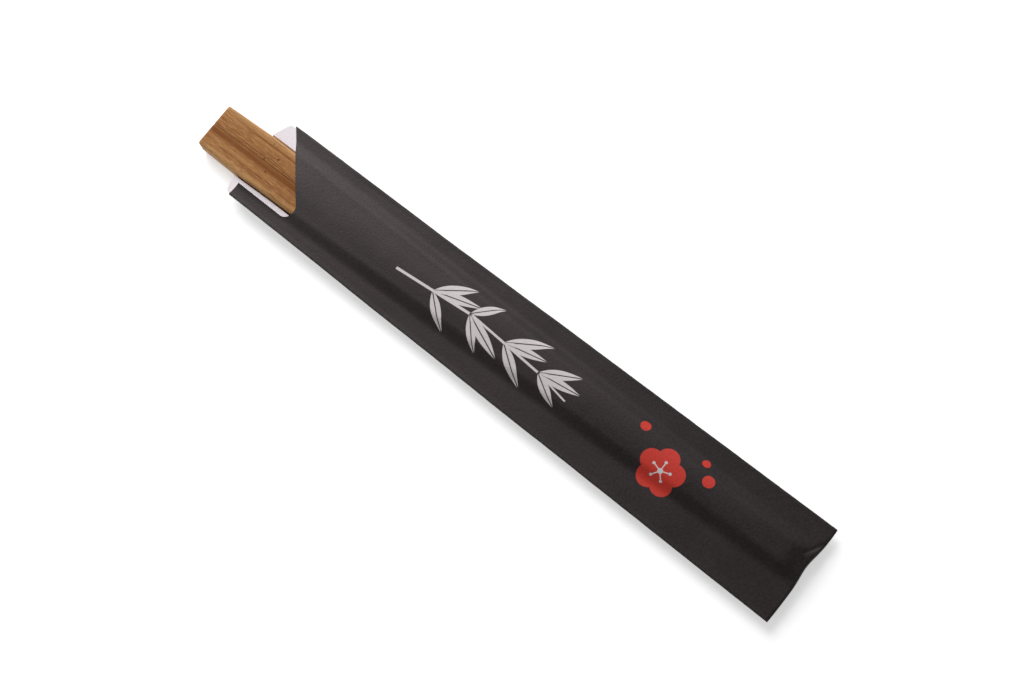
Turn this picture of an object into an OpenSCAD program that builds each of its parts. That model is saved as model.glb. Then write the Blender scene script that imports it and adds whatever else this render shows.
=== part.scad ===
// A snap-apart pair of bamboo chopsticks in a folded paper sleeve, lying on its back.
// X runs from the chopstick heads to the sleeve's closed end, Y goes across, Z is up.
// Millimetres. The origin lies under the middle of the whole length, on the table.

/* [Chopsticks] */
// Length of the chopsticks, head to tip
stick_l = 210; // [180:1:240]
// Width of the pair at the head end
head_w = 15.1; // [11:0.1:16.5]
// How much wider the pair is at its widest place
swell = 1; // [0:0.1:1.5]
// Distance of the widest place from the head end
shoulder_x = 20; // [10:1:40]
// Thickness of the pair at the head
head_t = 5; // [4:0.1:6]
// Diameter of one stick at its tip
tip_d = 3.9; // [3:0.1:4.5]
// Rounding of the outer edges at the head
outer_r = 0.8; // [0.5:0.1:1.6]
// Rounding of the edges beside the saw cut at the head
inner_r = 0.1; // [0.1:0.05:0.6]
// Width of the saw cut between the two sticks
kerf_w = 0.3; // [0.3:0.1:1.2]
// Length at the head over which the sticks are still joined
joint_l = 36; // [15:1:60]
// Depth of the snap groove over and under the joint
groove_d = 0.15; // [0.1:0.05:1.6]
// How far out of square the head end is cut, in degrees
head_cut = 4.6; // [0:0.1:6]

/* [Place of the chopsticks in the sleeve] */
// How far the heads stand out of the sleeve's mouth
stand_out = 21; // [10:0.1:30]
// Free length between the tips and the closed end
tip_room = 6.6; // [3:0.1:15]
// Sideways place of the heads
head_y = -0.6; // [-1.5:0.1:1.5]
// Turn of the pair in the sleeve, in degrees
pair_turn = 0.75; // [-0.8:0.05:0.8]
// Clearance between the chopsticks and the paper over them
paper_clear = 0.15; // [0.1:0.05:0.4]

/* [Paper sleeve] */
// Width over the two folded edges
sleeve_w = 29.5; // [27:0.5:40]
// Thickness of the paper
paper_t = 0.15; // [0.1:0.05:0.25]
// Free height inside the folded edges
fold_gap = 0.5; // [0.3:0.1:0.8]
// How much the front arches up over the middle of the chopsticks
crown_rise = 0.4; // [0:0.1:1]
// Height of the folded edges, as a share of the height inside the sleeve
edge_rise = 0.55; // [0.2:0.01:0.65]
// How much higher the folded edges lie at the mouth
mouth_lift = 1; // [0:0.1:1.2]
// Width over which the paper slopes from the chopsticks to the folded edges
flank_w = 5.5; // [4:0.1:10]
// How the slope is spread: at 1 evenly, above 1 steeper beside the chopsticks
flank_bend = 1.4; // [1:0.1:2]
// Height that the closed end stays open inside
end_h = 1.7; // [1.2:0.1:3]
// Length over which the closed end rounds off
nose_l = 0.6; // [0.3:0.1:1.5]
// How much further each edge lies out at the closed end
end_spread = 0.3; // [0:0.1:0.8]

/* [Mouth of the sleeve] */
// Angle of the slanting cut across the front, from the long edge, in degrees
slant = 45.2; // [35:0.1:60]
// Width of the strip of front paper left along the low edge
strip_w = 4.6; // [3:0.1:8]
// Rounding where the slanting cut meets the strip
notch_r = 3; // [0.5:0.1:4]
// How far the middle of the back stands out past the front's corners
tongue_l = 4.8; // [3:0.1:6]
// How much less the back stands out at its sides
tongue_bow = 3.2; // [1:0.1:3.5]
// Rounding of the back's two corners
tongue_r = 1; // [0.5:0.1:3]

/* [Glued laps] */
// Width of the glued lap along the middle of the back
seam_w = 8; // [4:0.5:14]
// Length of the tab turned round the closed end and glued to the back
tab_l = 10; // [5:0.5:20]
// How much narrower the tab is at its free edge, on each side
tab_mitre = 1.8; // [0:0.1:4]

/* [Hidden] */

bamboo_colour = [0.60, 0.42, 0.27];
paper_colour = [0.22, 0.20, 0.20];

hull_fn = 32;         // sides of the rounds inside a hull
slice = 0.02;         // thickness of a section given to a hull
sink = 0.02;          // how far a cutting block reaches past what it cuts
front_steps = 22;     // steps across the front
back_steps = 9;       // steps across the back, on each side of the lap
lap_steps = 8;        // steps across the lap
arc_steps = 6;        // steps round each folded edge
body_steps = 16;      // sections from the mouth to the tips
close_steps = 8;      // sections from the tips to the closed end
nose_steps = 3;       // sections round the closed end
nose_share = 0.5;     // share of the end's height left on its flat face
step_w = 0.1;         // width over which a glued paper's edge steps down
back_clear = 0.6;     // distance beside the chopsticks from which the back rises
lap_ramp = 1.5;       // width over which the outer lap comes up beside the inner one
lift_l = 90;          // length over which the folded edges come down from the mouth

sleeve_l = stick_l - stand_out + tip_room;
head_x = -(stand_out + sleeve_l) / 2;
mouth_x = head_x + stand_out;

// Under the chopsticks lie three papers: the inner lap, the outer lap and the turned tab.
floor_z = 3 * paper_t;
fold_r = fold_gap / 2;
tips_in_sleeve = stick_l - stand_out;
tab_x = sleeve_l - tab_l;
tips_w = 2 * tip_d + kerf_w;
reach = 2 * sleeve_w; // size of a cutting block, past everything that it cuts

function mix(a, b, u) = a + (b - a) * u;
function clamp01(u) = min(1, max(0, u));
function ease(u) = let (v = clamp01(u)) clamp01(v * v * v * (10 - 15 * v + 6 * v * v));

// Sizes of the pair, x from the heads
function pair_w(x) = lookup(x, [[0, head_w], [shoulder_x, head_w + swell], [stick_l, tips_w]]);
function pair_t(x) = mix(head_t, tip_d, clamp01(x / stick_l));
function edge_r(x) = mix(outer_r, tip_d / 2, clamp01(x / stick_l));
function pair_y(x) = head_y + x * tan(pair_turn);

// One stick's section, as four rounds that a hull joins
module stick_section(x, w, t, far_r, near_r) {
    for (corner = [[kerf_w / 2, near_r, 1], [w / 2, far_r, -1]])
        for (z = [corner[1], t - corner[1]])
            translate([x, corner[0] + corner[2] * corner[1], z])
                rotate([0, 90, 0]) cylinder(r = corner[1], h = slice, $fn = hull_fn);
}

module stick() {
    hull() {
        stick_section(0, head_w, head_t, outer_r, inner_r);
        stick_section(shoulder_x, pair_w(shoulder_x), pair_t(shoulder_x), edge_r(shoulder_x), inner_r);
        translate([stick_l - tip_d / 2, (kerf_w + tip_d) / 2, tip_d / 2])
            sphere(d = tip_d, $fn = hull_fn);
    }
}

// The web that still joins the two sticks, with the round end that the saw leaves
module snap_joint() {
    web_w = kerf_w + 2 * inner_r;
    difference() {
        translate([0, -web_w / 2, groove_d])
            cube([joint_l, web_w, pair_t(joint_l) - 2 * groove_d]);
        translate([joint_l, 0, 0]) cylinder(d = kerf_w, h = head_t);
    }
}

module chopstick_pair() {
    color(bamboo_colour)
        translate([head_x, head_y, floor_z]) rotate([0, 0, pair_turn])
            difference() {
                union() {
                    stick();
                    mirror([0, 1, 0]) stick();
                    snap_joint();
                }
                // The head end, cut a little out of square from the outer corner of one stick
                translate([0, head_w / 2, 0]) rotate([0, 0, head_cut])
                    translate([-reach, -reach, -reach / 2]) cube([reach, 2 * reach, reach]);
            }
}

// Paper round the chopsticks, x from the mouth. The folded edges lie between the table and the
// chopsticks' tops, and both papers slope to them from the chopsticks' sides.
function edge_half(x) = sleeve_w / 2 + end_spread * ease(x / sleeve_l);
function fold_y(x) = edge_half(x) - paper_t - fold_r;
function inside_h(x) = pair_t(x + stand_out) + paper_clear;
// Free height under and over the folded edges
function below(x) = edge_rise * inside_h(x) + mouth_lift * (1 - ease(x / lift_l));
function above(x) = inside_h(x) - below(x);
function edge_z(x) = floor_z + below(x);
function closing(x) = ease((x - tips_in_sleeve) / (tip_room - nose_l));
function nose(x) = let (u = clamp01((x - sleeve_l + nose_l) / nose_l)) mix(nose_share, 1, sqrt(1 - u * u));
function open_share(x) = nose(x) * mix(1, end_h / inside_h(x), closing(x));

// 0 over the chopsticks, 1 at the folded edge. The slope starts "start" away from the pair's middle.
function from_middle(x, y) = y - pair_y(x + stand_out);
function slope(x, y, start) =
    let (
        away = from_middle(x, y),
        room = fold_y(x) - sign(away) * pair_y(x + stand_out) - start
    )
    1 - pow(1 - ease((abs(away) - start) / min(flank_w, room)), flank_bend);

// Inside of the front and of the back
function front_z(x, y) =
    let (
        s = x + stand_out,
        start = pair_w(s) / 2 - edge_r(s),
        top = max(fold_r, open_share(x) * above(x)),
        arch = 1 - ease(abs(from_middle(x, y)) / (start + flank_w / 2))
    )
    edge_z(x) + mix(top, fold_r, slope(x, y, start)) + crown_rise * arch * (1 - closing(x));
function back_z(x, y) =
    let (
        start = pair_w(x + stand_out) / 2 + back_clear,
        bottom = max(fold_r, open_share(x) * below(x))
    )
    edge_z(x) - mix(bottom, fold_r, slope(x, y, start));

// How many papers lie on each other in the back: the outer lap adds one, and so does the tab
function tab_half(x) =
    edge_half(sleeve_l) - paper_t - fold_gap - tab_mitre * clamp01((sleeve_l - x) / tab_l);
function in_lap(y) = y < -(seam_w + step_w) / 2 ? 0 : clamp01((seam_w / 2 + lap_ramp - y) / lap_ramp);
function in_tab(x, y) = x > tab_x - step_w / 2 && abs(y) < tab_half(x) + step_w / 2 ? 1 : 0;
function papers(x, y) = 1 + in_lap(y) + in_tab(x, y);

function spread(a, b, steps) = [for (i = [0:steps]) mix(a, b, i / steps)];
function back_ys(x) =
    let (lap = seam_w / 2, tab = tab_half(x))
    concat(
        [fold_y(x), tab + step_w],
        spread(tab, lap + lap_ramp, back_steps),
        spread(lap, -lap, lap_steps),
        spread(-lap - step_w, -tab, back_steps),
        [-tab - step_w, -fold_y(x)]
    );

// Points round a folded edge, without the two that the front and the back have already
function fold_points(x, side, out) =
    [for (i = [1:arc_steps - 1]) let (q = (side > 0 ? 90 : 270) - 180 * i / arc_steps)
        [side * fold_y(x), edge_z(x)] + (fold_r + out) * [cos(q), sin(q)]];

// The whole loop at x: the front, one fold, the back, the other fold.
// "out" is 0 on the inside of the paper and paper_t on the outside.
function loop(x, out) =
    concat(
        [for (y = spread(-fold_y(x), fold_y(x), front_steps)) [y, front_z(x, y) + out]],
        fold_points(x, 1, out),
        [for (y = back_ys(x)) [y, back_z(x, y) - out * papers(x, y)]],
        fold_points(x, -1, out)
    );

function placed(x, points) = [for (p = points) [x, p[0], p[1]]];
function flat_list(lists) = [for (l = lists) each l];
function sorted(v) =
    len(v) < 2 ? v
    : let (p = v[floor(len(v) / 2)])
        concat(sorted([for (a = v) if (a < p) a]), [p], sorted([for (a = v) if (a > p) a]));

// Closed bag: an outer and an inner skin, joined round the mouth and capped at the closed end
module bag() {
    stations = sorted(concat(
        spread(-tongue_l, tips_in_sleeve, body_steps),
        spread(tips_in_sleeve, sleeve_l - nose_l, close_steps),
        [tab_x - step_w, tab_x],
        [for (i = [1:nose_steps]) sleeve_l - nose_l + nose_l * sin(90 * i / nose_steps)]
    ));
    inside_share = (sleeve_l - paper_t + tongue_l) / (sleeve_l + tongue_l);
    inner = [for (x = stations) placed((x + tongue_l) * inside_share - tongue_l, loop(x, 0))];
    outer = [for (x = stations) placed(x, loop(x, paper_t))];
    rings = len(stations);
    n = len(outer[0]);
    hubs = [for (x = [sleeve_l, sleeve_l - paper_t]) [x, 0, edge_z(sleeve_l)]];
    out_hub = 2 * rings * n;
    in_hub = out_hub + 1;

    function o(i, j) = i * n + j % n;
    function c(i, j) = rings * n + o(i, j);
    skins = [for (i = [0:rings - 2], j = [0:n - 1]) each [
        [o(i, j), o(i, j + 1), o(i + 1, j + 1)], [o(i, j), o(i + 1, j + 1), o(i + 1, j)],
        [c(i, j), c(i + 1, j + 1), c(i, j + 1)], [c(i, j), c(i + 1, j), c(i + 1, j + 1)]
    ]];
    mouth = [for (j = [0:n - 1]) each [
        [o(0, j), c(0, j), c(0, j + 1)], [o(0, j), c(0, j + 1), o(0, j + 1)]
    ]];
    caps = [for (j = [0:n - 1]) each [
        [out_hub, o(rings - 1, j), o(rings - 1, j + 1)], [in_hub, c(rings - 1, j + 1), c(rings - 1, j)]
    ]];
    polyhedron(concat(flat_list(outer), flat_list(inner), hubs), concat(skins, mouth, caps));
}

// Plan of what is cut out of the front: all past the mouth, and the slanting notch with its round foot
module front_cut_plan() {
    edge = edge_half(0);
    strip_y = strip_w - edge;
    foot = [(edge - strip_y) / tan(slant) - notch_r / tan(slant / 2), strip_y + notch_r];
    side = foot + notch_r * [sin(slant), cos(slant)];
    polygon([
        [-reach, -reach], [0, -reach], [0, strip_y], [foot[0], strip_y], foot, side,
        [0, edge], [0, reach], [-reach, reach]
    ]);
    translate(foot) circle(r = notch_r, $fn = 4 * hull_fn);
}

// Plan of the back's tongue, clear of the folds: a shallow bow, and rounds that meet it at both sides
module tongue_plan() {
    half = edge_half(0) - paper_t - fold_gap;
    bow_r = (half * half + tongue_bow * tongue_bow) / (2 * tongue_bow);
    bow_x = bow_r - tongue_l;
    corner_y = half - tongue_r;
    corner_x = bow_x - sqrt(pow(bow_r - tongue_r, 2) - corner_y * corner_y);
    meet_y = corner_y * bow_r / (bow_r - tongue_r);
    intersection() {
        translate([bow_x, 0]) circle(r = bow_r, $fn = 8 * hull_fn);
        translate([-reach, -meet_y]) square([2 * reach, 2 * meet_y]);
    }
    translate([corner_x, -half]) square([reach, 2 * half]);
    for (side = [-1, 1])
        translate([corner_x, side * corner_y]) circle(r = tongue_r, $fn = 4 * hull_fn);
}

module paper_sleeve() {
    color(paper_colour)
        translate([mouth_x, 0, 0]) difference() {
            bag();
            translate([0, 0, edge_z(0)]) linear_extrude(reach) front_cut_plan();
            translate([0, 0, -sink]) linear_extrude(reach) difference() {
                translate([-reach, -reach]) square([reach, 2 * reach]);
                tongue_plan();
            }
        }
}

chopstick_pair();
paper_sleeve();
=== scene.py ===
import math

import bmesh
import bpy
from mathutils import Matrix, Vector, noise


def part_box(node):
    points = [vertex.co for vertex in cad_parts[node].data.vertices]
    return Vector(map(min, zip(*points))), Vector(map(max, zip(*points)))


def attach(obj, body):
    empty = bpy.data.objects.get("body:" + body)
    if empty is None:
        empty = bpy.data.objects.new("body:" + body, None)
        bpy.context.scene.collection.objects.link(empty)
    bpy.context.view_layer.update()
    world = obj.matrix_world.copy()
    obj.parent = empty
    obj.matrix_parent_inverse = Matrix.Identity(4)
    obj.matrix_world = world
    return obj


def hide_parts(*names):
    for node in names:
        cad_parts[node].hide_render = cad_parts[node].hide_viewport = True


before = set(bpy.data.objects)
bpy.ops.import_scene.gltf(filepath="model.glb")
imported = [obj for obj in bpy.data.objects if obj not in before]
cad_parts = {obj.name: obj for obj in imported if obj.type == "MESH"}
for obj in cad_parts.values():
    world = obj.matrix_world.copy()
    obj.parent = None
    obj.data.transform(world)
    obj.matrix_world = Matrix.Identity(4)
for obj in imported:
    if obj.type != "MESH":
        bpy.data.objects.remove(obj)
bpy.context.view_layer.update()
mm = 0.001  # pieces are modelled in millimetres and scaled to metres when they are done
print("frame loaded:", sorted(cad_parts))


# maths shared by the pieces

def mix(a, b, u):
    return a + (b - a) * u


def clamp01(u):
    return min(1.0, max(0.0, u))


def ease(u):
    u = clamp01(u)
    return clamp01(u * u * u * (10 - 15 * u + 6 * u * u))


def spaced(a, b, count):  # evenly spaced numbers from a to b, with both ends
    return [mix(a, b, i / count) for i in range(count + 1)]


def hump(u):  # 1 in the middle, 0 from one unit away
    return ease(1 - abs(u))


def ripple(seed, x, y):  # smooth noise, about -1 to 1
    return noise.noise(Vector((x, y, 17.3 * seed)))


def bend(mid, r, start, end, count):  # points along an arc, angles in degrees
    turns = [math.radians(q) for q in spaced(start, end, count)]
    return [(mid[0] + r * math.cos(q), mid[1] + r * math.sin(q)) for q in turns]


def towards(a, b, count):  # evenly spaced points from a to b, without both ends
    return list(zip(spaced(a[0], b[0], count), spaced(a[1], b[1], count)))[1:-1]


# mesh helpers

def mappedGrid(bm, rows, columns, place):  # a flat grid whose points go where the formula says
    made = bmesh.ops.create_grid(bm, x_segments=rows, y_segments=columns, size=0.5)["verts"]
    cells = {}
    for v in made:
        cell = (round((v.co.x + 0.5) * rows), round((v.co.y + 0.5) * columns))
        cells[cell] = v
        v.co = place(*cell)
    return cells


def finishPiece(name, bm, finishes, sharpAngle):
    bmesh.ops.scale(bm, vec=(mm, mm, mm), verts=bm.verts)
    mesh = bpy.data.meshes.new(name)
    bm.to_mesh(mesh)
    bm.free()
    piece = bpy.data.objects.new(name, mesh)
    bpy.context.scene.collection.objects.link(piece)
    for finish in finishes:
        mesh.materials.append(finish)
    mesh.shade_smooth()
    mesh.set_sharp_from_angle(angle=math.radians(sharpAngle))
    print(name, "has", len(mesh.polygons), "faces")
    return piece


# a shader socket that takes part in Python arithmetic

class Wire:
    def __init__(self, tree, socket=None):
        self.tree = tree
        self.socket = socket

    def plug(self, target, value):
        if isinstance(value, Wire):
            self.tree.links.new(value.socket, target)
        else:
            target.default_value = value

    def add(self, kind, settings=None, inputs=None, output=0):
        node = self.tree.nodes.new(kind)
        for name, value in (settings or {}).items():
            if name == "stops":
                ramp = node.color_ramp
                while len(ramp.elements) < len(value):
                    ramp.elements.new(1.0)
                for element, (position, colour) in zip(ramp.elements, value):
                    element.position = position
                    element.color = (*colour, 1.0)
            else:
                setattr(node, name, value)
        for key, value in (inputs or {}).items():
            self.plug(node.inputs[key], value)
        return Wire(self.tree, node.outputs[output])

    def math(self, operation, *values):
        return self.add("ShaderNodeMath", {"operation": operation}, dict(enumerate(values)))

    def __add__(self, other):
        return self.math("ADD", self, other)

    def __radd__(self, other):
        return self.math("ADD", other, self)

    def __sub__(self, other):
        return self.math("SUBTRACT", self, other)

    def __rsub__(self, other):
        return self.math("SUBTRACT", other, self)

    def __mul__(self, other):
        return self.math("MULTIPLY", self, other)

    def __rmul__(self, other):
        return self.math("MULTIPLY", other, self)

    def __abs__(self):
        return self.math("ABSOLUTE", self)

    def least(self, other):
        return self.math("MINIMUM", self, other)

    def most(self, other):
        return self.math("MAXIMUM", self, other)

    def step(self, low, high):  # 0 at low, 1 at high, smooth between
        settings = {"interpolation_type": "SMOOTHSTEP"}
        return self.add("ShaderNodeMapRange", settings, {0: self, 1: low, 2: high})

    def tint(self, base, other):  # mixes two colours, with this wire as the factor
        colours = {key: colour if isinstance(colour, Wire) else (*colour, 1.0)
                   for key, colour in ((6, base), (7, other))}
        return self.add("ShaderNodeMix", {"data_type": "RGBA"}, {0: self, **colours}, output=2)

    def stretched(self, *scale):
        return self.add("ShaderNodeMapping", {}, {"Vector": self, "Scale": scale})

    def grain(self, detail=2.0, rough=0.5, scale=1.0):
        inputs = {"Vector": self, "Scale": scale, "Detail": detail, "Roughness": rough}
        return self.add("ShaderNodeTexNoise", {}, inputs)

    def axes(self):
        first = self.add("ShaderNodeSeparateXYZ", {}, {0: self})
        outputs = first.socket.node.outputs
        return [Wire(self.tree, outputs[i]) for i in range(3)]

    def awayFrom(self, place):  # distance from a fixed point
        settings = {"operation": "DISTANCE"}
        return self.add("ShaderNodeVectorMath", settings, {0: self, 1: place}, output="Value")


def newFinish(name):
    finish = bpy.data.materials.new(name)
    finish.use_nodes = True
    return finish, Wire(finish.node_tree), finish.node_tree.nodes["Principled BSDF"].inputs


def bumpInto(wire, inputs, height, depth):
    values = {"Strength": 1.0, "Distance": depth * mm, "Height": height}
    wire.plug(inputs["Normal"], wire.add("ShaderNodeBump", {}, values))


def objectMillimetres(wire):
    return wire.add("ShaderNodeTexCoord", output="Object").stretched(1 / mm, 1 / mm, 1 / mm)


# the two chopsticks, still joined at their heads

sticks = {
    "length": 210.0,
    "standOut": 21.0,
    "headWidth": 15.1,
    "swell": 1.0,
    "shoulder": 20.0,
    "headThickness": 5.0,
    "tip": 3.9,
    "outerRound": 0.8,
    "innerRound": 0.1,
    "kerf": 0.3,
    "joint": 36.0,
    "groove": 0.15,
    "headCut": 4.6,  # degrees out of square
    "headY": -0.6,
    "turn": 0.75,  # degrees
    "headRounding": ((0.0, 0.10), (0.03, 0.04), (0.10, 0.0)),  # place along, how far drawn in
    "waver": 0.05,
    "waverRun": (9.0, 5.0),  # length of the waver along and up a stick
    "slack": 0.01,  # keeps points of a section apart
    "evenFrom": 1.0,  # where the even rows start, from the heads
    "sharp": 38,  # edges that turn by more than this many degrees stay crisp
    "steps": {
        "inner": 4, "face": 6, "outer": 7, "side": 3, "joint": 25, "shaft": 60, "tip": 8,
    },
}
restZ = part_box("chopstick_pair")[0].z / mm
tipsWidth = 2 * sticks["tip"] + sticks["kerf"]


def pairWidth(s):  # s is the distance from the heads
    shoulder = sticks["shoulder"]
    widest = sticks["headWidth"] + sticks["swell"]
    if s < shoulder:
        return mix(sticks["headWidth"], widest, clamp01(s / shoulder))
    return mix(widest, tipsWidth, clamp01((s - shoulder) / (sticks["length"] - shoulder)))


def pairThickness(s):
    return mix(sticks["headThickness"], sticks["tip"], clamp01(s / sticks["length"]))


def outerRound(s):
    return mix(sticks["outerRound"], sticks["tip"] / 2, clamp01(s / sticks["length"]))


def innerRound(s):
    shoulder = sticks["shoulder"]
    taper = clamp01((s - shoulder) / (sticks["length"] - sticks["tip"] / 2 - shoulder))
    return mix(sticks["innerRound"], sticks["tip"] / 2 - sticks["slack"], taper)


def pairCentre(s):
    return sticks["headY"] + s * math.tan(math.radians(sticks["turn"]))


webColumns = (1, 3)  # the columns of a stick's section between which the joint's web stands


def stickSection(s):  # round one stick, from the foot of the face beside the saw cut
    counts = sticks["steps"]
    slack = sticks["slack"]
    top = pairThickness(s)
    inner = innerRound(s)
    outer = outerRound(s)
    near = sticks["kerf"] / 2
    far = pairWidth(s) / 2
    low = min(max(sticks["groove"], inner + slack), top / 2 - slack)
    points = [(near, inner), (near, low), (near, top / 2), (near, top - low)]
    points += bend((near + inner, top - inner), inner, 180, 90, counts["inner"])
    points += towards((near + inner, top), (far - outer, top), counts["face"])
    points += bend((far - outer, top - outer), outer, 90, 0, counts["outer"])
    points += towards((far, top - outer), (far, outer), counts["side"])
    points += bend((far - outer, outer), outer, 0, -90, counts["outer"])
    points += towards((far - outer, 0), (near + inner, 0), counts["face"])
    points += bend((near + inner, inner), inner, 270, 180, counts["inner"])[:-1]
    return points


def stickStations():  # distance from the head, how far the section is drawn in, its scale
    counts = sticks["steps"]
    joint = sticks["joint"]
    tip = sticks["tip"] / 2
    straight = sticks["length"] - tip
    stations = [(s, inset, 1.0) for s, inset in sticks["headRounding"]]
    stations += [(s, 0.0, 1.0) for s in spaced(sticks["evenFrom"], joint, counts["joint"])]
    jointRow = len(stations) - 1
    stations += [(s, 0.0, 1.0) for s in spaced(joint, straight, counts["shaft"])[1:]]
    stations += [(straight + tip * math.sin(q), 0.0, math.cos(q))
                 for q in spaced(0, math.pi / 2, counts["tip"])[1:]]
    return stations, jointRow


def stickPoint(side, station, section, column):
    s, inset, scale = station
    y, z = section[column % len(section)]
    half = (pairWidth(s) - sticks["kerf"]) / 4
    midY = sticks["kerf"] / 2 + half
    midZ = pairThickness(s) / 2
    y = midY + (y - midY) * scale * (1 - inset / half)
    z = midZ + (z - midZ) * scale * (1 - inset / midZ)
    outer = clamp01((y - midY) / half)
    long, high = sticks["waverRun"]
    y += outer * sticks["waver"] * ripple(side, s / long, z / high)
    skew = (sticks["headWidth"] / 2 - side * y) * math.tan(math.radians(sticks["headCut"]))
    return Vector((s + skew * (1 - clamp01(s / sticks["shoulder"])), side * y, z))


def joinHeads(bm, stick, otherStick, jointRow):  # the web that a diner snaps
    chains = []
    for cells in (stick, otherStick):
        foot, top = webColumns
        across = range(foot, top + 1)
        along = range(jointRow + 1)
        around = {cells[row, column] for row in along for column in across}
        opened = [f for f in bm.faces if all(v in around for v in f.verts)]
        rim = {cells[row, column] for row in along for column in (foot, top)}
        rim |= {cells[jointRow, column] for column in across}
        bmesh.ops.delete(bm, geom=opened, context="FACES")
        chains += [e for e in bm.edges if e.is_boundary and all(v in rim for v in e.verts)]
    bmesh.ops.bridge_loops(bm, edges=chains)


def buildChopsticks(wood, endGrain):
    bm = bmesh.new()
    stations, jointRow = stickStations()
    sections = [stickSection(s) for s, inset, scale in stations]
    columns = len(sections[0])
    made = []
    for side in (1, -1):
        made.append(mappedGrid(bm, len(stations) - 1, columns, lambda row, column: stickPoint(
            side, stations[row], sections[row], column)))
    joinHeads(bm, *made, jointRow)
    bmesh.ops.remove_doubles(bm, verts=bm.verts, dist=0.002)
    headRim = [e for e in bm.edges if e.is_boundary]
    cap = bmesh.ops.edgeloop_fill(bm, edges=headRim)["faces"]
    for f in cap:
        f.material_index = 1
    bmesh.ops.recalc_face_normals(bm, faces=bm.faces)
    bmesh.ops.rotate(bm, verts=bm.verts, cent=(0, 0, 0),
                     matrix=Matrix.Rotation(math.radians(sticks["turn"]), 3, "Z"))
    bmesh.ops.translate(bm, verts=bm.verts, vec=(headX, sticks["headY"], restZ))
    return finishPiece("chopsticks", bm, [wood, endGrain], sticks["sharp"])


# the folded paper sleeve, from one flat sheet

sleeve = {
    "width": 29.5,
    "paper": 0.15,
    "foldGap": 0.5,
    "clear": 0.15,
    "crownRise": 0.4,
    "crownFade": 24.0,
    "edgeRise": 0.55,  # the folded edges' share of the height inside
    "mouthLift": 1.0,
    "liftLength": 90.0,
    "flankWidth": 5.5,
    "flankBend": 1.4,
    "backClear": 0.10,
    "mouthFlank": 0.6,  # width of the back's slope at the mouth
    "tipRoom": 6.6,
    "endHeight": 1.7,
    "nose": 0.6,
    "endSpread": 0.3,
    "slant": 45.2,
    "strip": 4.6,
    "notchRound": 3.0,
    "tongue": 4.8,
    "tongueBow": 3.2,  # how much less the back stands out at its sides
    "tongueRound": 1.0,
    "tongueReach": 1.0,  # how far in from the mouth its cut looks for faces
    "seam": 8.0,
    "lapRamp": 1.5,
    "tab": 10.0,
    "tabMitre": 1.8,
    "edgeWave": 0.12,
    "edgeWaveRun": 24.0,
    "edgeNick": 0.05,
    "edgeNickRun": 3.0,
    "flankWave": 0.16,
    "crownWave": 0.10,
    "waves": ((1, 0.7, 26.0, 7.0), (2, 0.3, 9.0, 4.0)),  # seed, share, length along and across
    "endPull": 0.65,  # how far the raised middle of the closed end is drawn in
    "endPullY": 2.5,
    "endPullHalf": 4.5,
    "endPullRun": 14.0,
    "cornerPull": 0.12,
    "reliefDown": 0.6,  # keeps the ripples inside the paper's room
    "reliefFade": 1.5,  # from the folded edges
    "slopeMargin": 0.1,  # on either side of the back's slope, where its rows lie close
    "slopeMost": 0.85,  # the close rows' largest share of the way to the folded edge
    "wornAndHighlitColumns": 2,  # columns on either side of a fold that are lighter: partly worn paper, partly a painted highlight
    "glueGap": 0.02,
    "sharp": 40,
    "creases": (  # start and end from the closed end and the middle, half width, height
        ((-0.1, 10.8), (-2.7, 4.8), 0.75, -0.17),
        ((-0.7, 7.6), (-1.3, 4.6), 0.80, 0.06),
        ((-1.7, 4.4), (-0.7, 3.6), 0.45, 0.12),
        ((-1.9, 3.3), (-0.6, 2.7), 0.45, -0.15),
        ((-2.9, 2.9), (-1.6, 2.1), 0.45, 0.10),
    ),
    "steps": {
        "front": 72, "fold": 8, "lap": 24, "slope": 24, "flank": 12,
        "tongue": 4, "body": 124, "closing": 18, "nose": 8, "tab": 12,
        "notch": 9, "bow": 10, "corner": 4,
    },
}
steps = sleeve["steps"]
sleeveLow, sleeveHigh = (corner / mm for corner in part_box("paper_sleeve"))
mouthX = sleeveLow.x + sleeve["tongue"]
sleeveLength = sleeveHigh.x - mouthX
headX = mouthX - sticks["standOut"]  # where the chopsticks' heads lie
tipsInSleeve = sticks["length"] - sticks["standOut"]
noseStart = sleeveLength - sleeve["nose"]
foldRound = sleeve["foldGap"] / 2


def edgeHalf(x):
    return sleeve["width"] / 2 + sleeve["endSpread"] * ease(x / sleeveLength)


def foldY(x):
    return edgeHalf(x) - sleeve["paper"] - foldRound


def insideHeight(x):
    return pairThickness(x + sticks["standOut"]) + sleeve["clear"]


def below(x):  # free height under the folded edges, which lie higher at the mouth
    lift = sleeve["mouthLift"] * (1 - ease(x / sleeve["liftLength"]))
    return sleeve["edgeRise"] * insideHeight(x) + lift


def edgeZ(x):
    return restZ + below(x)


def closing(x):
    u = clamp01((x - tipsInSleeve) / (sleeve["tipRoom"] - sleeve["nose"]))
    return (u + ease(u)) / 2


def openShare(x):
    return mix(1, sleeve["endHeight"] / insideHeight(x), closing(x))


def slopeShare(x, y, start, width):  # 0 over the sticks, 1 at the folded edge
    middle = pairCentre(x + sticks["standOut"])
    away = y - middle
    room = foldY(x) - math.copysign(1, away) * middle - start
    level = 1 - ease((abs(away) - start) / min(width, room))
    return 1 - level ** sleeve["flankBend"]


def topStart(x):
    s = x + sticks["standOut"]
    return pairWidth(s) / 2 - outerRound(s)


def frontSlope(x, y):
    return slopeShare(x, y, topStart(x), sleeve["flankWidth"])


def frontZ(x, y):  # inside of the front
    top = openShare(x) * (insideHeight(x) - below(x))
    away = abs(y - pairCentre(x + sticks["standOut"]))
    arch = 1 - ease(away / (topStart(x) + sleeve["flankWidth"] / 2))
    fade = ease((x - tipsInSleeve + sleeve["crownFade"]) / sleeve["crownFade"])
    rise = sleeve["crownRise"] * arch * (1 - fade)
    return edgeZ(x) + mix(top, foldRound, frontSlope(x, y)) + rise


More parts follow.
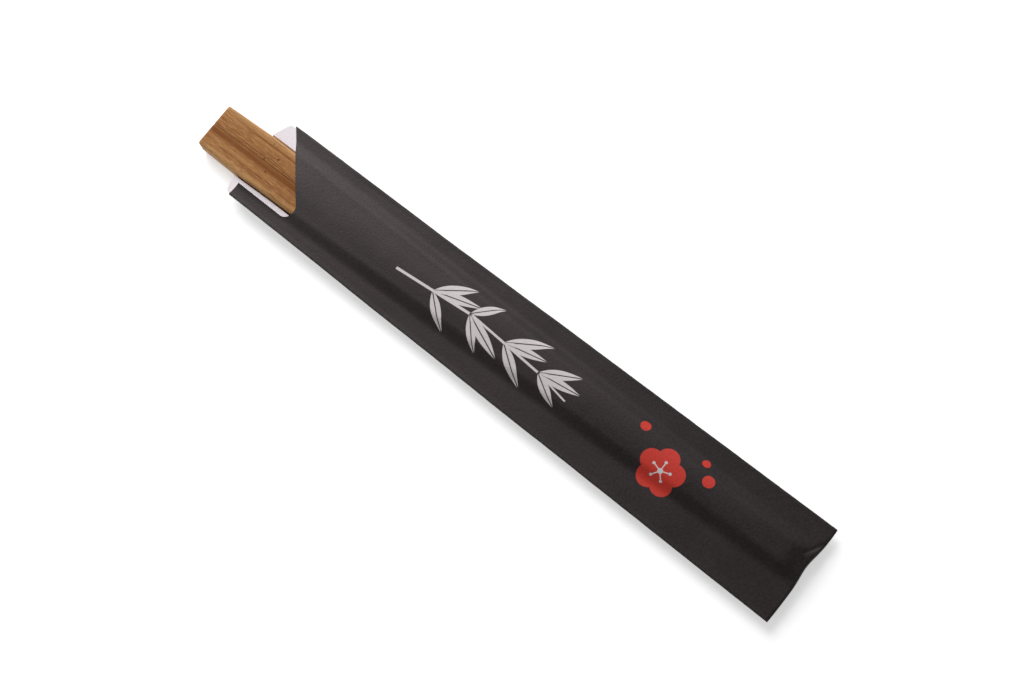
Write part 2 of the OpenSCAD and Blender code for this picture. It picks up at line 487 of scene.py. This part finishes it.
def backSlope(x):  # where the back leaves the sticks' sides, and the width of its slope there
    start = pairWidth(x + sticks["standOut"]) / 2 + sleeve["backClear"]
    return start, mix(sleeve["mouthFlank"], sleeve["flankWidth"], ease(x / sleeve["liftLength"]))


def backZ(x, y):  # inside of the back
    bottom = openShare(x) * below(x)
    return edgeZ(x) - mix(bottom, foldRound, slopeShare(x, y, *backSlope(x)))


def acrossBack(x, side):  # places from a lap's end to the folded edge, closest on the slope
    start, width = backSlope(x)
    margin = sleeve["slopeMargin"]
    lapEnd = -side * sleeve["seam"] / 2
    edge = side * foldY(x)
    low = pairCentre(x + sticks["standOut"]) + side * (start - margin)
    high = mix(low, edge, min(sleeve["slopeMost"], (width + 2 * margin) / abs(edge - low)))
    places = spaced(lapEnd, low, steps["lap"])
    places += spaced(low, high, steps["slope"])[1:]
    return places + spaced(high, edge, steps["flank"])[1:]


def inLap(y):  # 1 where the outer lap lies under the inner one
    return clamp01((sleeve["seam"] / 2 + sleeve["lapRamp"] - y) / sleeve["lapRamp"])


def foldColumns(columns):  # the two columns that run along the middle of the folds
    inward = steps["lap"] + steps["slope"] + steps["flank"] + steps["fold"] // 2
    return inward, columns - inward


def wrappedPath(x):  # outside of the paper: inner lap, fold, front, fold, outer lap
    paper = sleeve["paper"]
    edge = foldY(x)
    innerLap = [(y, backZ(x, y) - paper) for y in acrossBack(x, -1)]
    front = [(y, frontZ(x, y) + paper) for y in spaced(-edge, edge, steps["front"])]
    outerLap = [(y, backZ(x, y) - paper * (1 + inLap(y))) for y in reversed(acrossBack(x, 1))]
    firstFold = bend((-edge, edgeZ(x)), foldRound + paper, 270, 90, steps["fold"])[1:-1]
    lastFold = bend((edge, edgeZ(x)), foldRound + paper, 90, -90, steps["fold"])[1:-1]
    return innerLap + firstFold + front + lastFold + outerLap


def sheetAcross(path):  # each point's place across the unfolded sheet, 0 in the front's middle
    run = [0.0]
    for a, b in zip(path, path[1:]):
        run.append(run[-1] + math.dist(a, b))
    middle = run[len(run) // 2]
    return [v - middle for v in run]


def sheetRows():  # each row's place along, its turn round the closed end, its way along the tab
    rows = [(x, 0, 0) for x in spaced(-sleeve["tongue"], 0, steps["tongue"])]
    rows += [(x, 0, 0) for x in spaced(0, tipsInSleeve, steps["body"])[1:]]
    rows += [(x, 0, 0) for x in spaced(tipsInSleeve, noseStart, steps["closing"])[1:]]
    rows += [(noseStart, q, 0) for q in spaced(0, math.pi, steps["nose"])[1:]]
    rows += [(noseStart, math.pi, u) for u in spaced(0, 1, steps["tab"])[1:]]
    return rows


def fromLine(x, y, start, end):  # distance of a point from a stretch of line
    run = Vector(end) - Vector(start)
    rel = Vector((x, y)) - Vector(start)
    return (rel - run * clamp01(rel.dot(run) / run.length_squared)).length


def relief(x, y):  # small height changes of the front, less over the sticks
    wave = mix(sleeve["crownWave"], sleeve["flankWave"], frontSlope(x, y))
    uneven = [share * ripple(seed, x / long, y / wide)
              for seed, share, long, wide in sleeve["waves"]]
    height = wave * (sum(uneven) - sleeve["reliefDown"])
    fromEnd = x - sleeveLength
    for start, end, width, rise in sleeve["creases"]:
        height += rise * hump(fromLine(fromEnd, y, start, end) / width)
    return height


def endPull(y):  # how far the closed end is drawn in
    middle = math.exp(-((y - sleeve["endPullY"]) / sleeve["endPullHalf"]) ** 2)
    corner = clamp01(abs(y) / edgeHalf(sleeveLength)) ** 8
    return sleeve["endPull"] * middle + sleeve["cornerPull"] * corner


def sheetPoint(row, y, z, onFront):
    x, turn, along = row
    edge = edgeHalf(x)
    if onFront:
        z += relief(x, y) * clamp01((edge - abs(y)) / sleeve["reliefFade"])
    side = math.copysign(1, y)
    wave = sleeve["edgeWave"] * (0.5 + ripple(3, x / sleeve["edgeWaveRun"], 5 * side))
    wave += sleeve["edgeNick"] * (0.5 + ripple(4, x / sleeve["edgeNickRun"], 5 * side))
    y -= side * wave * (abs(y) / edge) ** 3
    if turn:
        under = (1 - math.cos(turn)) / 2
        wide = edge - sleeve["paper"] - sleeve["foldGap"] - sleeve["tabMitre"] * along
        y *= mix(edge, wide, under ** 3) / edge
        x += sleeve["nose"] * math.sin(turn) - (sleeve["tab"] - sleeve["nose"]) * along
        z = mix(z, backZ(min(x, noseStart), y) - sleeve["paper"] * (2 + inLap(y)), under)
    run = sleeve["endPullRun"]
    x -= endPull(y) * ease((max(x, row[0]) - sleeveLength + run) / run)
    return Vector((x, y, z))


frontPanel, backPanel, noPanel = 1, 2, 0


def trim(bm, panelOf, panel, lines, reach):  # takes away what lies on the far side of every line
    for point, normal in lines:
        faces = [f for f in bm.faces if f[panelOf] == panel and f.calc_center_median().x < reach]
        edges = list(dict.fromkeys(e for f in faces for e in f.edges))
        verts = list(dict.fromkeys(v for f in faces for v in f.verts))
        bmesh.ops.bisect_plane(bm, geom=verts + edges + faces, dist=0.0005,
                               plane_co=(*point, 0), plane_no=(*normal, 0))

    def beyond(f):
        middle = f.calc_center_median().xy
        return all((middle - Vector(point)).dot(Vector(normal)) > 0 for point, normal in lines)

    gone = [f for f in bm.faces if f[panelOf] == panel and beyond(f)]
    bmesh.ops.delete(bm, geom=gone, context="FACES")


def roundCorner(mid, r, start, end, count, inward):  # tangent lines of an arc, angles in degrees
    lines = []
    for point in bend(mid, r, start, end, count):
        away = (Vector(point) - Vector(mid)) / r
        lines.append((point, tuple(-away if inward else away)))
    return lines


def tongueLines(half):  # tangent lines of the back's shallow bow and of its two rounded corners
    bow = sleeve["tongueBow"]
    r = sleeve["tongueRound"]
    bowR = (half * half + bow * bow) / (2 * bow)
    bowX = bowR - sleeve["tongue"]
    cornerY = half - r
    lean = math.asin(cornerY / (bowR - r))
    cornerX = bowX - (bowR - r) * math.cos(lean)
    lean = math.degrees(lean)
    lines = roundCorner((bowX, 0), bowR, 180 - lean, 180 + lean, steps["bow"], False)
    for side in (1, -1):
        corner = (cornerX, side * cornerY)
        start, end = 180 - side * lean, 180 - side * 90
        lines += roundCorner(corner, r, start, end, steps["corner"], False)[1:]
    return lines


def cutMouth(bm, panelOf):
    edge = edgeHalf(0)
    slant = math.radians(sleeve["slant"])
    r = sleeve["notchRound"]
    stripY = sleeve["strip"] - edge
    foot = ((edge - stripY) / math.tan(slant) - r / math.tan(slant / 2), stripY + r)
    notch = roundCorner(foot, r, -90, 90 - sleeve["slant"], steps["notch"], True)
    mouthLine = ((0, 0), (-1, 0))
    reach = foot[0] + 3 * r  # past the notch
    trim(bm, panelOf, frontPanel, [mouthLine], reach)
    trim(bm, panelOf, frontPanel, notch, reach)
    for line in tongueLines(edge - sleeve["paper"] - sleeve["foldGap"]):
        trim(bm, panelOf, backPanel, [line, mouthLine], sleeve["tongueReach"])


def buildSleeve(outside, inside):
    bm = bmesh.new()
    flat = bm.loops.layers.uv.new("sheet")  # place on the unfolded sheet, in millimetres
    fold = bm.verts.layers.float.new("fold")
    panelOf = bm.faces.layers.int.new("panel")
    rows = sheetRows()
    paths = [wrappedPath(x) for x, turn, along in rows]
    columns = len(paths[0]) - 1
    firstFold, lastFold = foldColumns(columns)

    def onFront(column):
        return firstFold <= column <= lastFold

    cells = mappedGrid(bm, len(rows) - 1, columns, lambda row, column: sheetPoint(
        rows[row], *paths[row][column], onFront(column)))
    cellOf = {v: cell for cell, v in cells.items()}
    # the fold layer is 1 along the folds, where the printed paper is lighter from wear and a
    # painted highlight
    for v, (row, column) in cellOf.items():
        fromFold = min(abs(column - firstFold), abs(column - lastFold))
        v[fold] = hump(fromFold / (steps["fold"] // 2 + sleeve["wornAndHighlitColumns"]))

    across = [sheetAcross(path) for path in paths]
    for f in bm.faces:
        spots = [cellOf[loop.vert] for loop in f.loops]
        front = all(onFront(column) for row, column in spots)
        wrapped = any(rows[row][1] for row, column in spots)
        f[panelOf] = frontPanel if front else noPanel if wrapped else backPanel
        for loop, (row, column) in zip(f.loops, spots):
            x, turn, along = rows[row]
            loop[flat].uv = (x + turn * sleeve["nose"] + along * sleeve["tab"], across[row][column])
    spare = [f for f in bm.faces if f[panelOf] == noPanel]
    bmesh.ops.delete(bm, geom=spare, context="FACES")
    cutMouth(bm, panelOf)

    printed = set(bm.faces)
    bmesh.ops.solidify(bm, geom=list(bm.faces), thickness=sleeve["paper"] - sleeve["glueGap"])
    for f in bm.faces:
        f.material_index = 0 if f in printed else 1
    bmesh.ops.recalc_face_normals(bm, faces=bm.faces)
    bmesh.ops.translate(bm, verts=bm.verts, vec=(mouthX, 0, 0))
    return finishPiece("sleeve", bm, [outside, inside], sleeve["sharp"])


# finishes

bambooLook = {
    # used for light flecks in the grain and for the painted highlight and painted light on the
    # sticks' outer edges
    "light": (0.540, 0.305, 0.130),
    "pale": (0.388, 0.182, 0.064),
    "warm": (0.300, 0.128, 0.039),
    "band": (0.185, 0.060, 0.010),
    "deep": (0.150, 0.053, 0.014),
    "pit": (0.050, 0.018, 0.007),
    "rough": (0.48, 0.66),
    "shine": 0.07,
    "bump": 0.05,
    "stretch": {  # noise scale per millimetre, along and across the grain
        "bands": (0.010, 0.50), "fibres": (0.040, 3.4), "hairs": (0.09, 9.0),
        "dashes": (0.10, 2.6), "flecks": (0.40, 4.5), "wander": (0.03, 0.4),
    },
    "toneStops": (0.34, 0.47, 0.58),
    "edgeHighlight": (5.4, 7.4),  # painted highlight on the rounded outer edges: distance from the saw cut, start and end of the change
    "edgeHighlightShare": 0.65,
    # painted light on the shaded lower (-Y) side of the pair, distance from the saw cut
    "lowerSideLight": (6.6, 7.8),
    "bandY": -1.15,
    "bandHalf": (0.5, 1.7),
    "bandWander": 1.8,
    "streakY": 5.2,
    "streakHalf": (0.15, 0.65),
    "streakWander": 1.2,
    "streakFrom": (8, 16),  # distance from the head
    "streakShare": 0.7,
    "fleckSteps": (0.54, 0.68),
    "fleckShare": 0.5,
    "threadSteps": (0.60, 0.72),
    "threadShare": 0.6,
    "hairSteps": (0.56, 0.78),
    "hairShare": 0.22,
    "pits": (  # distance from the head, from the saw cut, radius
        (25.6, 2.9, 0.30), (21.8, 0.6, 0.26), (25.2, -2.4, 0.25), (20.8, 6.1, 0.16),
    ),
    "pitShare": 0.95,
    "endDots": 1.7,
    "endBump": 0.06,
}


def joined(marks):  # the union of several masks
    whole = marks[0]
    for mark in marks[1:]:
        whole = whole.most(mark)
    return whole


def drawnOut(p, name, detail, rough):  # noise drawn out along the grain
    along, across = bambooLook["stretch"][name]
    return p.stretched(along, across, across).grain(detail, rough)


def bambooShade(p, fibres, fromSplit, fromHead):  # a dark band beside the saw cut, and a streak
    wander = drawnOut(p, "wander", 2.0, 0.5) - 0.5
    fromBand = fromSplit - bambooLook["bandY"] + wander * bambooLook["bandWander"]
    band = (1 - abs(fromBand).step(*bambooLook["bandHalf"])) * fibres.step(0.10, 0.52)
    fromStreak = fromSplit - bambooLook["streakY"] + wander * bambooLook["streakWander"]
    line = (1 - abs(fromStreak).step(*bambooLook["streakHalf"])) * fibres.step(0.25, 0.55)
    streak = line * fromHead.step(*bambooLook["streakFrom"]) * bambooLook["streakShare"]
    return band.most(streak)


def bambooPits(p):
    pits = []
    for along, away, r in bambooLook["pits"]:
        spot = (headX + along, pairCentre(along) + away, restZ + pairThickness(along))
        pits.append(1 - p.awayFrom(spot).step(r * 0.6, r * 1.5))
    return joined(pits)


def bambooFinish():
    finish, wire, inputs = newFinish("bamboo")
    p = objectMillimetres(wire)
    x, y = p.axes()[:2]
    turn = math.tan(math.radians(sticks["turn"]))
    fromSplit = y - x * turn - (sticks["headY"] - headX * turn)
    fibres = drawnOut(p, "fibres", 4.0, 0.6)
    hairs = drawnOut(p, "hairs", 2.0, 0.5)
    flecks = drawnOut(p, "flecks", 2.0, 0.6)
    dashes = drawnOut(p, "dashes", 1.0, 0.4)
    shade = bambooShade(p, fibres, fromSplit, x - headX)
    pits = bambooPits(p)

    tone = drawnOut(p, "bands", 3.0, 0.55) * 0.45 + fibres * 0.55
    tones = [bambooLook[name] for name in ("deep", "warm", "pale")]
    stops = list(zip(bambooLook["toneStops"], tones))
    ground = tone.add("ShaderNodeValToRGB", {"stops": stops}, {0: tone})
    # painted highlight on the rounded outer edges, and painted light on the shaded lower (-Y) side
    edgeHighlight = abs(fromSplit).step(*bambooLook["edgeHighlight"]) * bambooLook["edgeHighlightShare"]
    lowerSideLight = (0 - fromSplit).step(*bambooLook["lowerSideLight"])
    highlighted = edgeHighlight.most(lowerSideLight).tint(ground, bambooLook["light"])
    banded = shade.tint(highlighted, bambooLook["band"])

    threads = dashes.step(*bambooLook["threadSteps"]) * bambooLook["threadShare"]
    share = bambooLook["fleckShare"]
    darkFlecks = flecks.step(*bambooLook["fleckSteps"]) * share
    lightFlecks = (1 - flecks).step(*bambooLook["fleckSteps"]) * (1 - shade) * share
    lightHairs = hairs.step(*bambooLook["hairSteps"]) * (1 - shade) * bambooLook["hairShare"]
    darkened = threads.most(darkFlecks).tint(banded, bambooLook["deep"])
    marked = lightFlecks.tint(darkened, bambooLook["light"])
    combed = lightHairs.tint(marked, bambooLook["pale"])
    pitted = (pits * bambooLook["pitShare"]).tint(combed, bambooLook["pit"])
    wire.plug(inputs["Base Color"], pitted)

    inputs["Specular IOR Level"].default_value = bambooLook["shine"]
    low, high = bambooLook["rough"]
    wire.plug(inputs["Roughness"], fibres * (high - low) + low)
    height = fibres * 0.6 + hairs * 0.4 - threads * 0.5 - pits
    bumpInto(wire, inputs, height, bambooLook["bump"])
    return finish


def endGrainFinish():
    finish, wire, inputs = newFinish("bamboo_end_grain")
    p = objectMillimetres(wire)
    dotInputs = {"Vector": p.stretched(0.05, 1.0, 1.0), "Scale": bambooLook["endDots"]}
    dots = p.add("ShaderNodeTexVoronoi", {}, dotInputs)
    mottle = p.grain(3.0, 0.6, 0.8)
    bundle = 1 - dots.step(0.16, 0.34)
    ground = mottle.step(0.3, 0.7).tint(bambooLook["deep"], bambooLook["pale"])
    wire.plug(inputs["Base Color"], (bundle * 0.7).tint(ground, bambooLook["deep"]))
    wire.plug(inputs["Roughness"], mottle * 0.2 + 0.6)
    bumpInto(wire, inputs, mottle - bundle * 0.4, bambooLook["endBump"])
    return finish


paperLook = {
    "black": (0.0095, 0.0074, 0.0074),
    "greyed": (0.0215, 0.0170, 0.0172),
    # colour of the dust specks, and of the folds' lighter paper: partly wear, partly a painted
    # highlight
    "dustAndFoldHighlight": (0.110, 0.100, 0.098),
    "white": (0.815, 0.760, 0.800),
    "fibre": (0.715, 0.665, 0.700),
    "rough": (0.44, 0.74),
    "shine": 0.33,
    "shineTint": (1.0, 0.84, 0.86),
    "whiteInk": (0.640, 0.595, 0.595),
    "redInk": (0.560, 0.036, 0.022),
    "cloudScale": 0.10,
    "fibreScale": 1.3,
    "toothScale": 7.0,
    "speckScale": 0.16,
    "speckSteps": (0.012, 0.030),
    "bump": 0.10,
    "liningFibre": 1.6,
    "liningTooth": 6.0,
    "liningRough": (0.72, 0.87),
    "liningBump": 0.025,
}
sprig = {  # places on the front in millimetres from the mouth and from the middle
    "stalks": (  # start, end, width
        ((57, -1.5), (83, 0.8), 0.9), ((83.8, 0.9), (109, -0.6), 0.75),
        ((109.7, -0.7), (120, -2.4), 0.55),
    ),
    "leaves": (  # foot, direction in degrees, length, width
        ((70, -0.4), 38, 14, 3.2), ((70, -0.4), 17, 16, 3.0), ((70, -0.4), -40, 13, 3.0),
        ((83, 0.8), -22, 16, 3.2), ((83, 0.8), -46, 12, 2.8), ((83, 0.8), 48, 11, 2.8),
        ((96, 0.2), 34, 15, 3.2), ((96, 0.2), 13, 14, 2.8), ((96, 0.2), -35, 14, 3.2),
        ((109, -0.6), -30, 11, 2.8), ((109, -0.6), 30, 13, 3.0), ((109, -0.6), 8, 14, 2.8),
    ),
    "leafBelly": (5.2, 2.4),  # fullness at the foot, and how much of it goes towards the point
    "leafEdge": (0.0, 0.10),
    "leafVein": (0.05, 0.16),
    "stalkEdge": (0.0, 0.2),
}
blossom = {
    "middle": (151.5, -1.5),
    "petal": 3.1,
    "petalOut": 3.7,
    "tilt": 20,
    "heart": 0.75,
    "stamen": 2.7,
    "stamenWidth": 0.35,
    "stamenDot": 0.42,
    "buds": (((141.0, 6.0), 1.5), ((163.0, 4.0), 1.7), ((159.5, 8.2), 1.2)),
    "edge": 0.06,
}


def laidOut(sheet, place, angle, length, width):  # 0 to 1 along a mark, -1 to 1 across it
    inputs = {"Vector": sheet, "Location": (*place, 0), "Rotation": (0, 0, math.radians(angle)),
              "Scale": (length, width / 2, 1)}
    return sheet.add("ShaderNodeMapping", {"vector_type": "TEXTURE"}, inputs).axes()[:2]


def leafMark(sheet, place, angle, length, width):
    along, across = laidOut(sheet, place, angle, length, width)
    side = abs(across)
    full, thinner = sprig["leafBelly"]
    body = along * (1 - along).most(0) * (full - along * thinner) - side
    return body.step(*sprig["leafEdge"]) * side.step(*sprig["leafVein"])


def stalkMark(sheet, start, end, width):
    run = Vector(end) - Vector(start)
    angle = math.degrees(math.atan2(run.y, run.x))
    along, across = laidOut(sheet, start, angle, run.length, width)
    inside = (1 - abs(across)).least((0.5 - abs(along - 0.5)) * (run.length * 2))
    return inside.step(*sprig["stalkEdge"])


def dotMark(sheet, place, r):
    edge = blossom["edge"]
    return 1 - sheet.awayFrom((*place, 0)).step(r - edge, r + edge)


def ring(middle, r, tilt, count=5):
    turns = [math.radians(tilt + 360 * i / count) for i in range(count)]
    return [(middle[0] + r * math.cos(q), middle[1] + r * math.sin(q)) for q in turns]


def printMarks(sheet):
    white = [leafMark(sheet, *leaf) for leaf in sprig["leaves"]]
    white += [stalkMark(sheet, *stalk) for stalk in sprig["stalks"]]
    middle = blossom["middle"]
    white.append(dotMark(sheet, middle, blossom["heart"]))
    for place in ring(middle, blossom["stamen"], blossom["tilt"]):
        white.append(stalkMark(sheet, middle, place, blossom["stamenWidth"]))
        white.append(dotMark(sheet, place, blossom["stamenDot"]))
    petals = ring(middle, blossom["petalOut"], blossom["tilt"])
    red = [dotMark(sheet, place, blossom["petal"]) for place in petals]
    red += [dotMark(sheet, place, r) for place, r in blossom["buds"]]
    return joined(white), joined(red)


def printedPaperFinish():
    finish, wire, inputs = newFinish("printed_paper")
    p = objectMillimetres(wire)
    sheet = wire.add("ShaderNodeUVMap", {"uv_map": "sheet"})
    folded = wire.add("ShaderNodeAttribute", {"attribute_name": "fold"}, output="Fac")
    cloud = p.grain(4.0, 0.6, paperLook["cloudScale"])
    fibre = p.grain(3.0, 0.65, paperLook["fibreScale"])
    tooth = p.grain(2.0, 0.6, paperLook["toothScale"])
    uneven = cloud.step(0.3, 0.7) * 0.4 + fibre.step(0.38, 0.64) * 0.6
    ground = uneven.tint(paperLook["black"], paperLook["greyed"])
    speckInputs = {"Vector": p, "Scale": paperLook["speckScale"]}
    speck = p.add("ShaderNodeTexVoronoi", {}, speckInputs)
    dust = (1 - speck.step(*paperLook["speckSteps"])) * 0.8
    # lighter near the folds: partly worn paper, partly a painted highlight on the folds; the dust
    # specks are real
    foldWearAndHighlight = folded * fibre.step(0.45, 0.65) * 0.5
    dustedAndHighlit = foldWearAndHighlight.most(dust).tint(ground, paperLook["dustAndFoldHighlight"])
    whiteInk, redInk = printMarks(sheet)
    cover = 1 - (1 - fibre.step(0.22, 0.42)) * 0.25
    redded = (redInk * cover).tint(dustedAndHighlit, paperLook["redInk"])
    wire.plug(inputs["Base Color"], (whiteInk * cover).tint(redded, paperLook["whiteInk"]))
    inputs["Specular IOR Level"].default_value = paperLook["shine"]
    inputs["Specular Tint"].default_value = (*paperLook["shineTint"], 1)
    low, high = paperLook["rough"]
    wire.plug(inputs["Roughness"], fibre * (high - low) + low)
    bumpInto(wire, inputs, fibre * 0.7 + tooth * 0.3, paperLook["bump"])
    return finish


def liningFinish():
    finish, wire, inputs = newFinish("paper_lining")
    p = objectMillimetres(wire)
    fibre = p.stretched(1.0, 2.2, 2.2).grain(4.0, 0.65, paperLook["liningFibre"])
    tooth = p.grain(2.0, 0.6, paperLook["liningTooth"])
    ground = fibre.step(0.35, 0.75).tint(paperLook["white"], paperLook["fibre"])
    wire.plug(inputs["Base Color"], ground)
    low, high = paperLook["liningRough"]
    wire.plug(inputs["Roughness"], tooth * (high - low) + low)
    bumpInto(wire, inputs, fibre * 0.5 + tooth * 0.5, paperLook["liningBump"])
    return finish


# floor, light and camera

studio = {
    "world": 0.20,
    "keyPower": 13.1,
    "keyFrom": (-0.70, 0.49, 0.52),
    "keyAway": 0.95,
    "keySize": 0.80,
    "fillPower": 0.40,
    "fillFrom": (-0.80, -0.52, 0.30),
    "fillAway": 0.46,
    "fillSize": 0.30,
    "floorColour": (0.82, 0.82, 0.82),
    "floorLift": 0.50,
    "floorReach": 1600,
    "floorDrop": 0.02,  # how far it lies under the paper
    "floorSteps": 64,
    "sweepRound": 2000,
    "sweepEnd": -35,  # degrees
    "sweepSteps": 8,
}
view = {
    "aim": (8.52, 3.11, 0.0),
    "distance": 335.31,
    "heading": -55.60,  # degrees from +Y towards +X
    "elevation": 67.92,
    "roll": -16.17,
    "lens": 42.19,
    "clipStart": 0.01,
}


def buildFloor():
    finish, wire, inputs = newFinish("floor")
    inputs["Base Color"].default_value = (*studio["floorColour"], 1)
    inputs["Roughness"].default_value = 1.0
    inputs["Specular IOR Level"].default_value = 0.0
    inputs["Emission Strength"].default_value = studio["floorLift"]
    path = wire.add("ShaderNodeLightPath").socket.node.outputs
    rays = ("Is Camera Ray", "Is Glossy Ray", "Is Transmission Ray")
    seen = joined([Wire(wire.tree, path[name]) for name in rays])
    wire.plug(inputs["Emission Color"], seen.tint((0, 0, 0), (1, 1, 1)))
    bm = bmesh.new()
    reach = studio["floorReach"]
    r = studio["sweepRound"]
    sweep = bend((reach, r), r, -90, studio["sweepEnd"], studio["sweepSteps"])
    profile = [(0, 0)] + sweep  # flat, then sweeping up all round
    line = [bm.verts.new((y, 0, z - studio["floorDrop"])) for y, z in profile]
    edges = [bm.edges.new(pair) for pair in zip(line, line[1:])]
    bmesh.ops.spin(bm, geom=line + edges, cent=(0, 0, 0), axis=(0, 0, 1), angle=math.tau,
                   steps=studio["floorSteps"], use_merge=True)
    bmesh.ops.remove_doubles(bm, verts=bm.verts, dist=0.01)
    bmesh.ops.recalc_face_normals(bm, faces=bm.faces)
    finishPiece("floor", bm, [finish], 60)


def buildLight():
    world = bpy.data.worlds.new("studio")
    bpy.context.scene.world = world
    world.use_nodes = True
    background = world.node_tree.nodes["Background"].inputs
    background["Color"].default_value = (1, 1, 1, 1)
    background["Strength"].default_value = studio["world"]
    for name in ("key", "fill"):
        data = bpy.data.lights.new(name, "AREA")
        data.energy = studio[name + "Power"]
        data.size = studio[name + "Size"]
        lamp = bpy.data.objects.new(name, data)
        bpy.context.scene.collection.objects.link(lamp)
        away = Vector(studio[name + "From"]).normalized()
        lamp.location = away * studio[name + "Away"]
        lamp.rotation_euler = away.to_track_quat("Z", "Y").to_euler()


def buildCamera():
    angles = ("heading", "elevation", "roll")
    heading, elevation, roll = (math.radians(view[name]) for name in angles)
    flatAhead = Vector((math.sin(heading), math.cos(heading), 0))
    ahead = flatAhead * math.cos(elevation) - Vector((0, 0, math.sin(elevation)))
    level = ahead.cross(Vector((0, 0, 1))).normalized()
    right = level * math.cos(roll) + level.cross(ahead) * math.sin(roll)
    up = right.cross(ahead)
    place = (Vector(view["aim"]) - ahead * view["distance"]) * mm
    camera = bpy.data.objects.new("camera", bpy.data.cameras.new("camera"))
    bpy.context.scene.collection.objects.link(camera)
    turned = Matrix((right, up, -ahead)).transposed().to_4x4()
    camera.matrix_world = Matrix.Translation(place) @ turned
    camera.data.sensor_fit = "HORIZONTAL"
    camera.data.lens = view["lens"]
    camera.data.clip_start = view["clipStart"]
    bpy.context.scene.camera = camera


buildCamera()
buildLight()
buildFloor()
print("studio ready")

chopsticks = buildChopsticks(bambooFinish(), endGrainFinish())
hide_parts("chopstick_pair")
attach(chopsticks, "root")
print("chopsticks ready")

paperSleeve = buildSleeve(printedPaperFinish(), liningFinish())
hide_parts("paper_sleeve")
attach(paperSleeve, "root")
print("sleeve ready")

bpy.context.scene.view_settings.view_transform = "Standard"
